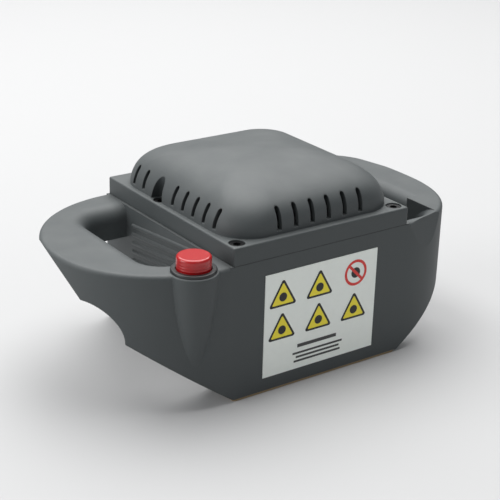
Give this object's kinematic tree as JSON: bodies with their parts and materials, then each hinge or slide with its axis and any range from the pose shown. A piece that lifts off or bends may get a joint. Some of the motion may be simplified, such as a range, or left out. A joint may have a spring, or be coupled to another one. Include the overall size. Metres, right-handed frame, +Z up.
{
  "type": "hand-held demagnetiser",
  "caption": "Boxy hand-held AC demagnetiser with a vented domed cover, a hand loop at each end, a flat sole and a spring-loaded red push button under the left thumb.",
  "frame": {"origin": "centre of the sole's underside, in the plane that the tool rests on", "axes": "+X to the right-hand loop along the front panel's face, +Y from the front panel to the cable gland at the rear, +Z up through the cover"},
  "size_m": [0.2606, 0.1643, 0.1228],
  "materials": {
    "case_plastic": "fine-grained moulded, dark bluish grey",
    "cover_plastic": "fine-grained moulded, dark bluish grey",
    "black_steel": "black oxide",
    "plain_steel": "zinc plated",
    "brass_parts": "plain",
    "sole_laminate": "tan laminate",
    "panel_foil": "printed foil",
    "core_steel": "varnished sheets",
    "bobbin_plastic": "glass-filled",
    "copper_wire": "enamelled copper",
    "bezel_plastic": "dark satin",
    "red_plastic": "gloss red",
    "switch_plastic": "black",
    "seal_rubber": "soft",
    "lead_sleeve": "insulated wire"
  },
  "bodies": {
    "case": {"housing": "case_plastic", "top_cover": "cover_plastic", "cover_screws": "black_steel", "threaded_inserts": "brass_parts", "sole_plate": "sole_laminate", "sole_screws": "plain_steel", "front_panel": "panel_foil", "core_laminations": "core_steel", "core_clamp_rear": "plain_steel", "core_clamp_front": "plain_steel", "core_foot_screws": "plain_steel", "core_clamp_bolts": "plain_steel", "core_clamp_nuts": "plain_steel", "bobbin_right": "bobbin_plastic", "bobbin_left": "bobbin_plastic", "winding_right": "copper_wire", "winding_left": "copper_wire", "thermal_cutout": "plain_steel", "terminal_block": "bobbin_plastic", "terminal_screws": "brass_parts", "button_bezel": "bezel_plastic", "switch_body": "switch_plastic", "switch_terminals": "brass_parts", "switch_keeper": "case_plastic", "gland_body": "switch_plastic", "gland_seal": "seal_rubber", "gland_dome_nut": "switch_plastic", "gland_lock_nut": "switch_plastic", "earth_tag": "brass_parts", "earth_screw": "plain_steel", "switch_leads": "lead_sleeve", "coil_leads": "lead_sleeve"},
    "button": {"button_cap": "red_plastic", "button_plunger": "bobbin_plastic", "retaining_ring": "plain_steel", "return_spring": "plain_steel", "switch_actuator": "bobbin_plastic"}
  },
  "joints": [
    {"name": "button_press", "type": "slide", "parent": "case", "child": "button", "axis": [0, 0, -1], "range_m": [0, 0.003], "stiffness_N_per_m": 500, "springref_m": -0.002, "deforming": ["return_spring"]}
  ]
}
